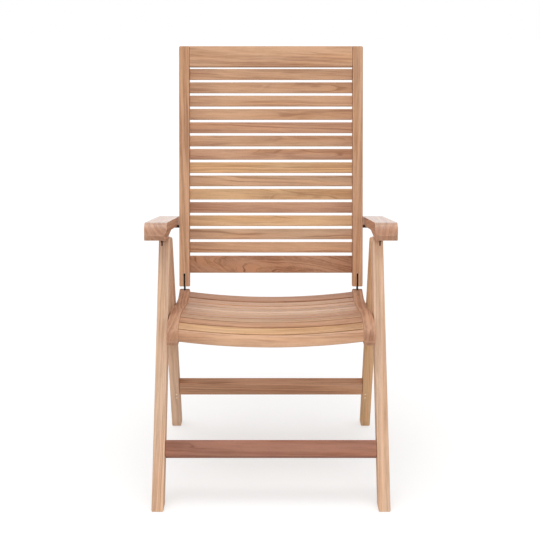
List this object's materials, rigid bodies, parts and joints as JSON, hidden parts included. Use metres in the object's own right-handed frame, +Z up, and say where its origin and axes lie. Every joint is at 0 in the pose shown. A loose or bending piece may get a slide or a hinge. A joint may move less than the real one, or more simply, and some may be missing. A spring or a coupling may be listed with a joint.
{
  "type": "folding armchair",
  "caption": "Folding teak armchair with crossed legs, a dished slatted seat, a high reclining back of horizontal slats and notched arms.",
  "frame": {"origin": "on the floor, below the middle of the chair's width and depth", "axes": "+X across the chair to the right of someone who faces it, +Y from the front feet to the back, +Z up"},
  "size_m": [0.626, 0.7426, 1.0463],
  "materials": {
    "teak": "satin",
    "teak_pale": "satin",
    "teak_warm": "satin",
    "dark_steel": "satin",
    "bright_steel": "satin"
  },
  "bodies": {
    "front_frame": {"front_leg_left": "teak_pale", "front_leg_right": "teak_pale", "front_stretcher": "teak_warm", "leg_hinge_plate_left": "dark_steel", "leg_hinge_plate_right": "dark_steel", "leg_top_pin_left": "bright_steel", "leg_top_pin_right": "bright_steel", "seat_pivot_bolt_left": "bright_steel", "seat_pivot_bolt_right": "bright_steel"},
    "rear_frame": {"rear_leg_left": "teak", "rear_leg_right": "teak", "rear_stretcher": "teak_warm", "seat_support_bar": "teak", "rear_leg_pin_left": "bright_steel", "rear_leg_pin_right": "bright_steel"},
    "seat_frame": {"seat_rail_left": "teak", "seat_rail_right": "teak", "seat_slat_01": "teak", "seat_slat_02": "teak", "seat_slat_03": "teak", "seat_slat_04": "teak", "seat_slat_05": "teak", "seat_slat_06": "teak", "seat_slat_07": "teak", "seat_slat_08": "teak", "seat_slat_09": "teak", "seat_slat_10": "teak", "seat_slat_11": "teak", "seat_slat_12": "teak", "seat_stop_cleat_left": "teak", "seat_stop_cleat_right": "teak"},
    "back_hinge_plates": {"back_hinge_plate_left": "dark_steel", "back_hinge_plate_right": "dark_steel"},
    "back_frame": {"back_stile_left": "teak", "back_stile_right": "teak", "back_top_rail": "teak", "back_bottom_rail": "teak_warm", "back_slat_01": "teak", "back_slat_02": "teak", "back_slat_03": "teak", "back_slat_04": "teak", "back_slat_05": "teak", "back_slat_06": "teak", "back_slat_07": "teak", "back_slat_08": "teak", "back_slat_09": "teak", "back_slat_10": "teak", "back_slat_11": "teak", "back_slat_12": "teak", "back_slat_13": "teak", "back_slat_14": "teak", "arm_peg_left": "dark_steel", "arm_peg_right": "dark_steel"},
    "arm_link_left": {"arm_link_left": "dark_steel"},
    "arm_link_right": {"arm_link_right": "dark_steel"},
    "arm_left": {"arm_left": "teak_pale", "arm_pin_left": "bright_steel"},
    "arm_right": {"arm_right": "teak_pale", "arm_pin_right": "bright_steel"}
  },
  "joints": [
    {"name": "seat_fold", "type": "hinge", "parent": "front_frame", "child": "seat_frame", "pos_m": [0, -0.12481, 0.38992], "axis": [1, 0, 0], "range_deg": [0, 60]},
    {"name": "rear_leg_fold", "type": "hinge", "parent": "front_frame", "child": "rear_frame", "pos_m": [0, 0.02252, 0.55589], "axis": [-1, 0, 0], "range_deg": [0, 51.5]},
    {"name": "back_hinge_fold", "type": "hinge", "parent": "seat_frame", "child": "back_hinge_plates", "pos_m": [0, 0.22319, 0.37592], "axis": [-1, 0, 0], "range_deg": [0, 75]},
    {"name": "back_recline", "type": "hinge", "parent": "back_hinge_plates", "child": "back_frame", "pos_m": [0, 0.2324, 0.42201], "axis": [-1, 0, 0], "range_deg": [0, 30]},
    {"name": "arm_link_left_lift", "type": "hinge", "parent": "front_frame", "child": "arm_link_left", "pos_m": [0, -0.02484, 0.5666], "axis": [1, 0, 0], "range_deg": [0, 18]},
    {"name": "arm_link_right_lift", "type": "hinge", "parent": "front_frame", "child": "arm_link_right", "pos_m": [0, -0.02484, 0.5666], "axis": [1, 0, 0], "range_deg": [0, 18]},
    {"name": "arm_left_fold", "type": "hinge", "parent": "arm_link_left", "child": "arm_left", "pos_m": [0, -0.05885, 0.6031], "axis": [1, 0, 0], "range_deg": [0, 69]},
    {"name": "arm_right_fold", "type": "hinge", "parent": "arm_link_right", "child": "arm_right", "pos_m": [0, -0.05885, 0.6031], "axis": [1, 0, 0], "range_deg": [0, 69]}
  ],
  "couplings": [
    {"joint": "rear_leg_fold", "follows": "seat_fold", "ratio": 0.858},
    {"joint": "back_hinge_fold", "follows": "seat_fold", "ratio": 1.25},
    {"joint": "arm_left_fold", "follows": "seat_fold", "ratio": 1.15},
    {"joint": "arm_right_fold", "follows": "seat_fold", "ratio": 1.15},
    {"joint": "arm_link_left_lift", "follows": "back_recline", "ratio": 0.6},
    {"joint": "arm_link_right_lift", "follows": "back_recline", "ratio": 0.6}
  ]
}
